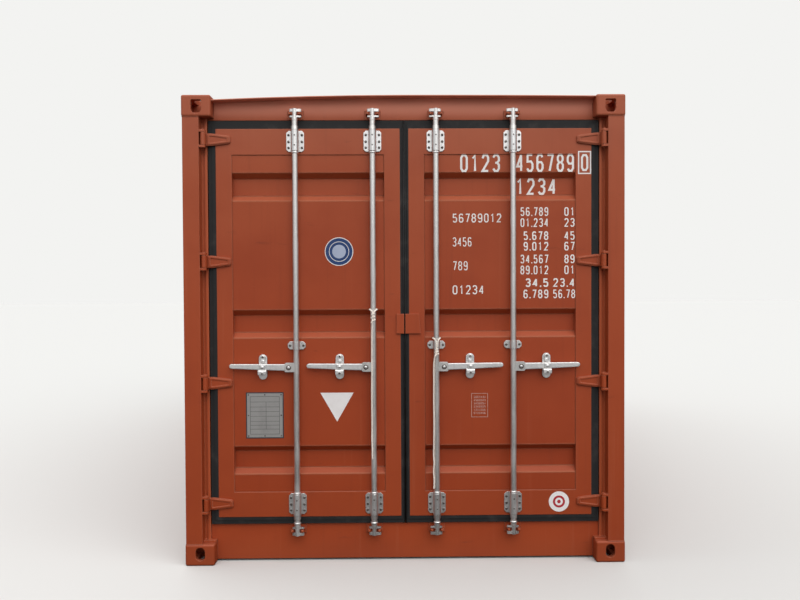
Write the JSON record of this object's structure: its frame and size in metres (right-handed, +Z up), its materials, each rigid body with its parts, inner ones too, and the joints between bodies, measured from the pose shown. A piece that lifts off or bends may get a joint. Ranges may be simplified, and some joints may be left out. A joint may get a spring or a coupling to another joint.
{
  "type": "shipping container",
  "caption": "Corrugated steel freight container with two hinged cargo doors, lock rods with cams and handles, corner castings and fork pockets.",
  "frame": {"origin": "centre of the bottom of the bounding box, on the ground", "axes": "+Z up, +Y along the body towards the blind end, the doors face -Y, +X to the right seen from the doors"},
  "size_m": [2.438, 6.058, 2.591],
  "materials": {
    "painted_steel": "weathered oxide red paint",
    "galvanised": "hot dip galvanised",
    "rubber": "matt",
    "plywood": "scuffed",
    "rope": "twisted cord"
  },
  "bodies": {
    "frame": {"top_corner_castings": "painted_steel", "bottom_corner_castings": "painted_steel", "door_posts": "painted_steel", "front_posts": "painted_steel", "hinge_ears": "painted_steel", "hinge_pins": "galvanised", "door_header": "painted_steel", "door_sill": "painted_steel", "cam_keepers": "painted_steel", "front_top_rail": "painted_steel", "front_bottom_rail": "painted_steel", "top_side_rails": "painted_steel", "bottom_side_rails": "painted_steel", "cross_members": "painted_steel", "fork_pockets": "painted_steel", "floor_boards": "plywood", "threshold_plate": "painted_steel", "left_side_wall": "painted_steel", "right_side_wall": "painted_steel", "end_wall": "painted_steel", "roof_panel": "painted_steel", "roof_corner_plates": "painted_steel"},
    "left_door": {"left_door_frame": "painted_steel", "left_door_panel": "painted_steel", "left_door_gasket": "rubber", "left_hinge_blades": "painted_steel", "left_rod_guides": "galvanised", "left_handle_catches": "galvanised", "meeting_stop": "painted_steel"},
    "right_door": {"right_door_frame": "painted_steel", "right_door_panel": "painted_steel", "right_door_gasket": "rubber", "right_hinge_blades": "painted_steel", "right_rod_guides": "galvanised", "right_handle_catches": "galvanised", "meeting_plate": "painted_steel"},
    "rod_1": {"lock_rod_1": "galvanised"},
    "rod_2": {"lock_rod_2": "galvanised", "rope_left": "rope"},
    "rod_3": {"lock_rod_3": "galvanised", "rope_right": "rope"},
    "rod_4": {"lock_rod_4": "galvanised"},
    "handle_1": {"handle_1": "galvanised"},
    "handle_2": {"handle_2": "galvanised"},
    "handle_3": {"handle_3": "galvanised"},
    "handle_4": {"handle_4": "galvanised"},
    "hasp_1": {"hasp_1": "galvanised"},
    "hasp_2": {"hasp_2": "galvanised"},
    "hasp_3": {"hasp_3": "galvanised"},
    "hasp_4": {"hasp_4": "galvanised"}
  },
  "joints": [
    {"name": "left_door_hinge", "type": "hinge", "parent": "frame", "child": "left_door", "pos_m": [-1.104, -3.009, 1.343], "axis": [0, 0, -1], "range_deg": [0, 180]},
    {"name": "right_door_hinge", "type": "hinge", "parent": "frame", "child": "right_door", "pos_m": [1.104, -3.009, 1.343], "axis": [0, 0, 1], "range_deg": [0, 180]},
    {"name": "rod_1_turn", "type": "hinge", "parent": "left_door", "child": "rod_1", "pos_m": [-0.602, -2.998, 1.337], "axis": [0, 0, 1], "range_deg": [0, 110]},
    {"name": "rod_2_turn", "type": "hinge", "parent": "left_door", "child": "rod_2", "pos_m": [-0.175, -2.998, 1.337], "axis": [0, 0, 1], "range_deg": [0, 110]},
    {"name": "rod_3_turn", "type": "hinge", "parent": "right_door", "child": "rod_3", "pos_m": [0.175, -2.998, 1.337], "axis": [0, 0, -1], "range_deg": [0, 110]},
    {"name": "rod_4_turn", "type": "hinge", "parent": "right_door", "child": "rod_4", "pos_m": [0.602, -2.998, 1.337], "axis": [0, 0, -1], "range_deg": [0, 110]},
    {"name": "handle_1_lift", "type": "hinge", "parent": "rod_1", "child": "handle_1", "pos_m": [-0.644, -2.998, 1.093], "axis": [0, 1, 0], "range_deg": [0, 30]},
    {"name": "handle_2_lift", "type": "hinge", "parent": "rod_2", "child": "handle_2", "pos_m": [-0.217, -2.998, 1.093], "axis": [0, 1, 0], "range_deg": [0, 30]},
    {"name": "handle_3_lift", "type": "hinge", "parent": "rod_3", "child": "handle_3", "pos_m": [0.217, -2.998, 1.093], "axis": [0, -1, 0], "range_deg": [0, 30]},
    {"name": "handle_4_lift", "type": "hinge", "parent": "rod_4", "child": "handle_4", "pos_m": [0.644, -2.998, 1.093], "axis": [0, -1, 0], "range_deg": [0, 30]},
    {"name": "hasp_1_swing", "type": "hinge", "parent": "left_door", "child": "hasp_1", "pos_m": [-0.79, -2.9795, 1.15], "axis": [0, 1, 0], "range_deg": [-100, 100]},
    {"name": "hasp_2_swing", "type": "hinge", "parent": "left_door", "child": "hasp_2", "pos_m": [-0.363, -2.9795, 1.15], "axis": [0, 1, 0], "range_deg": [-100, 100]},
    {"name": "hasp_3_swing", "type": "hinge", "parent": "right_door", "child": "hasp_3", "pos_m": [0.363, -2.9795, 1.15], "axis": [0, 1, 0], "range_deg": [-100, 100]},
    {"name": "hasp_4_swing", "type": "hinge", "parent": "right_door", "child": "hasp_4", "pos_m": [0.79, -2.9795, 1.15], "axis": [0, 1, 0], "range_deg": [-100, 100]}
  ]
}
